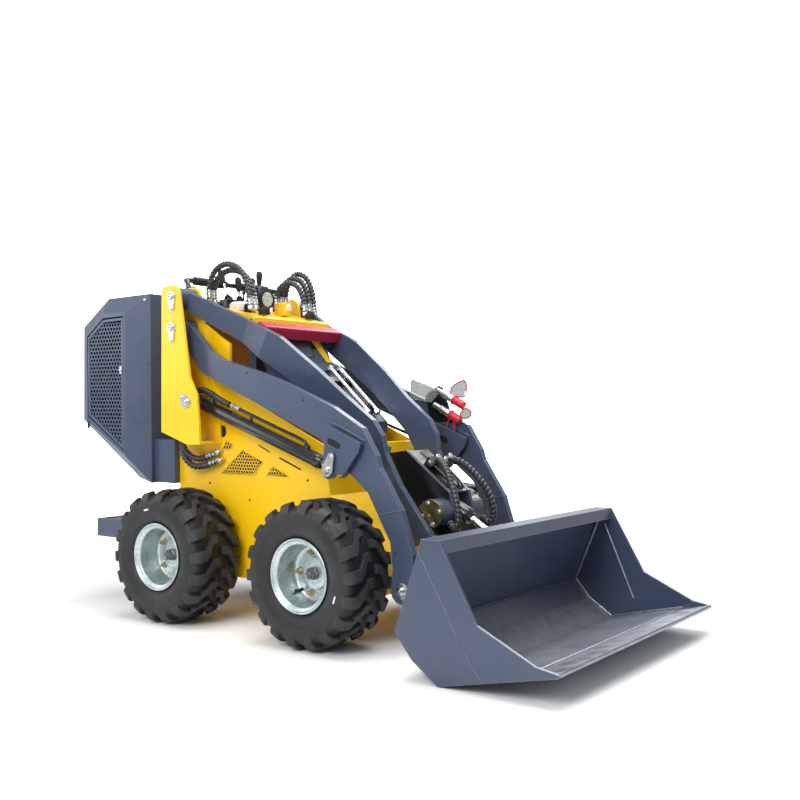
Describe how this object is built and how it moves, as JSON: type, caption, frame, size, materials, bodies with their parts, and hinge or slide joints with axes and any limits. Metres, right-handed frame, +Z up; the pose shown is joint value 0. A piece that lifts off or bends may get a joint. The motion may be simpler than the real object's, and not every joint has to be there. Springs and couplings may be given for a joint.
{
  "type": "skid steer loader",
  "caption": "Small stand-on wheeled skid steer loader with parallel lift arms, a hitch frame, a tilting bucket, hinged mesh grilles and a rear step.",
  "frame": {"origin": "on the ground under the middle of the bounding box", "axes": "+X forwards towards the bucket, +Y towards the machine's left, +Z up"},
  "size_m": [2.219, 1.074, 1.273],
  "materials": {
    "yellow_paint": "semi-gloss",
    "slate_paint": "satin",
    "crimson_paint": "semi-gloss",
    "black_paint": "satin",
    "hose_rubber": "matte",
    "tyre_rubber": "matte",
    "cast_parts": "satin",
    "plated_rim": "satin",
    "bright_rod": "polished",
    "worn_steel": "scuffed"
  },
  "bodies": {
    "chassis": {"body_tub": "yellow_paint", "post_right": "yellow_paint", "post_left": "yellow_paint", "console_deck": "yellow_paint", "front_guard": "slate_paint", "hood": "slate_paint", "engine": "cast_parts", "step_platform": "slate_paint", "axle_front": "cast_parts", "axle_rear": "cast_parts", "hand_bar": "black_paint", "control_levers": "black_paint", "work_lamp": "black_paint", "hoses_top_right": "hose_rubber", "hoses_top_left": "hose_rubber", "hoses_side_right": "hose_rubber", "hoses_side_left": "hose_rubber", "steel_pipes": "bright_rod"},
    "lower_arms": {"lower_arm_right": "slate_paint", "lower_arm_left": "slate_paint", "aux_couplers": "plated_rim"},
    "upper_arms": {"upper_arm_right": "slate_paint", "upper_arm_left": "slate_paint", "cross_beam": "crimson_paint"},
    "hitch": {"hitch_frame": "slate_paint", "hitch_hoses": "hose_rubber"},
    "bucket": {"bucket_shell": "slate_paint", "cutting_edge": "worn_steel"},
    "tilt_barrel": {"tilt_barrel": "black_paint"},
    "tilt_rod": {"tilt_rod": "bright_rod"},
    "lift_barrel_right": {"lift_right_barrel": "black_paint"},
    "lift_rod_right": {"lift_right_rod": "bright_rod"},
    "lift_barrel_left": {"lift_left_barrel": "black_paint"},
    "lift_rod_left": {"lift_left_rod": "bright_rod"},
    "grille_right": {"grille_right": "black_paint"},
    "grille_left": {"grille_left": "black_paint"},
    "wheel_front_right": {"tyre_front_right": "tyre_rubber", "rim_front_right": "plated_rim"},
    "wheel_front_left": {"tyre_front_left": "tyre_rubber", "rim_front_left": "plated_rim"},
    "wheel_rear_right": {"tyre_rear_right": "tyre_rubber", "rim_rear_right": "plated_rim"},
    "wheel_rear_left": {"tyre_rear_left": "tyre_rubber", "rim_rear_left": "plated_rim"}
  },
  "joints": [
    {"name": "lift", "type": "hinge", "parent": "chassis", "child": "lower_arms", "pos_m": [-0.5175, 0, 1.024], "axis": [0, -1, 0], "range_deg": [0, 75]},
    {"name": "upper_link", "type": "hinge", "parent": "chassis", "child": "upper_arms", "pos_m": [-0.5175, 0, 1.134], "axis": [0, -1, 0], "range_deg": [0, 75]},
    {"name": "hitch_level", "type": "hinge", "parent": "lower_arms", "child": "hitch", "pos_m": [0.4645, 0, 0.19], "axis": [0, 1, 0], "range_deg": [0, 75]},
    {"name": "bucket_tilt", "type": "hinge", "parent": "hitch", "child": "bucket", "pos_m": [0.5295, 0, 0.15], "axis": [0, 1, 0], "range_deg": [-18, 62]},
    {"name": "tilt_barrel_swing", "type": "hinge", "parent": "hitch", "child": "tilt_barrel", "pos_m": [0.2245, 0, 0.557], "axis": [0, 1, 0], "range_deg": [-2, 5]},
    {"name": "tilt_rod_slide", "type": "slide", "parent": "tilt_barrel", "child": "tilt_rod", "axis": [0.8555, 0, -0.5178], "range_m": [-0.06, 0.2]},
    {"name": "lift_barrel_right_swing", "type": "hinge", "parent": "chassis", "child": "lift_barrel_right", "pos_m": [-0.4385, -0.3, 0.76], "axis": [0, -1, 0], "range_deg": [0, 76]},
    {"name": "lift_rod_right_slide", "type": "slide", "parent": "lift_barrel_right", "child": "lift_rod_right", "axis": [0.9469, 0, -0.3216], "range_m": [0, 0.345]},
    {"name": "lift_barrel_left_swing", "type": "hinge", "parent": "chassis", "child": "lift_barrel_left", "pos_m": [-0.4385, 0.3, 0.76], "axis": [0, -1, 0], "range_deg": [0, 76]},
    {"name": "lift_rod_left_slide", "type": "slide", "parent": "lift_barrel_left", "child": "lift_rod_left", "axis": [0.9469, 0, -0.3216], "range_m": [0, 0.345]},
    {"name": "grille_right_hinge", "type": "hinge", "parent": "chassis", "child": "grille_right", "pos_m": [-1.00276, -0.362, 0.85], "axis": [0, 0, -1], "range_deg": [0, 100]},
    {"name": "grille_left_hinge", "type": "hinge", "parent": "chassis", "child": "grille_left", "pos_m": [-1.00276, 0.362, 0.85], "axis": [0, 0, 1], "range_deg": [0, 100]},
    {"name": "wheel_front_right_spin", "type": "hinge", "parent": "chassis", "child": "wheel_front_right", "pos_m": [0.193, -0.383, 0.2285], "axis": [0, 1, 0], "continuous": true},
    {"name": "wheel_front_left_spin", "type": "hinge", "parent": "chassis", "child": "wheel_front_left", "pos_m": [0.193, 0.383, 0.2285], "axis": [0, 1, 0], "continuous": true},
    {"name": "wheel_rear_right_spin", "type": "hinge", "parent": "chassis", "child": "wheel_rear_right", "pos_m": [-0.464, -0.383, 0.2285], "axis": [0, 1, 0], "continuous": true},
    {"name": "wheel_rear_left_spin", "type": "hinge", "parent": "chassis", "child": "wheel_rear_left", "pos_m": [-0.464, 0.383, 0.2285], "axis": [0, 1, 0], "continuous": true}
  ],
  "couplings": [
    {"joint": "upper_link", "follows": "lift", "ratio": 1},
    {"joint": "hitch_level", "follows": "lift", "ratio": 1},
    {"joint": "lift_barrel_right_swing", "follows": "lift", "ratio": 0.99},
    {"joint": "lift_rod_right_slide", "follows": "lift", "m_per_rad": 0.256},
    {"joint": "lift_barrel_left_swing", "follows": "lift", "ratio": 0.99},
    {"joint": "lift_rod_left_slide", "follows": "lift", "m_per_rad": 0.256},
    {"joint": "tilt_barrel_swing", "follows": "bucket_tilt", "ratio": 0.06},
    {"joint": "tilt_rod_slide", "follows": "bucket_tilt", "m_per_rad": 0.178}
  ]
}
